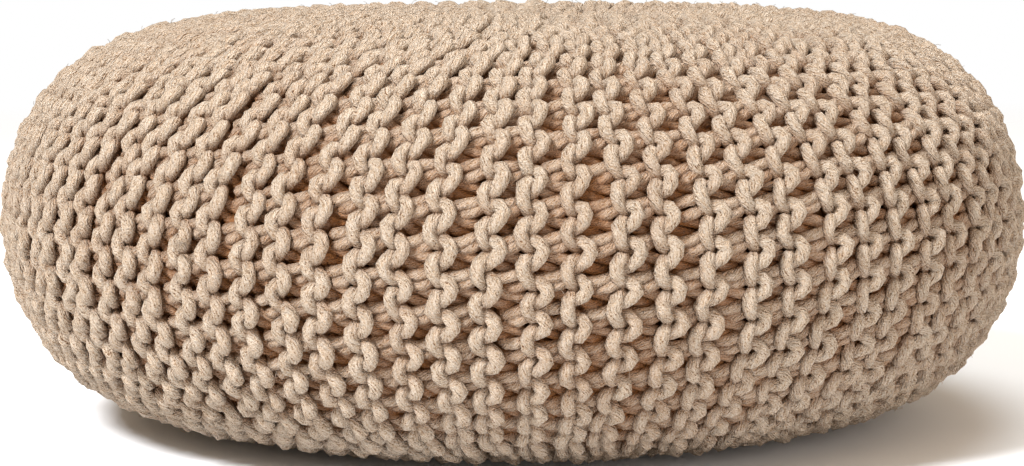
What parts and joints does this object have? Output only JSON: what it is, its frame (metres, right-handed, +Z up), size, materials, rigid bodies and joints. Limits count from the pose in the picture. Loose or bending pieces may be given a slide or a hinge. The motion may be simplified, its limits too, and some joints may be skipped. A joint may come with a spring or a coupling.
{
  "type": "knitted floor pouf",
  "caption": "Round low floor pouf in a ribbed garter-stitch cover of thick beige cotton cord, filled firm, drawn in at a gather on top.",
  "frame": {"origin": "centre of the flat base, on the surface that the pouf stands on", "axes": "+Z up through the pouf, -Y towards the front, +X to the right seen from the front"},
  "size_m": [0.701, 0.6967, 0.2817],
  "materials": {
    "cotton_cord": "thick knitted cotton cord, matte, slightly fuzzy"
  },
  "bodies": {
    "root": {"knitted_pouf": "cotton_cord"}
  },
  "joints": []
}
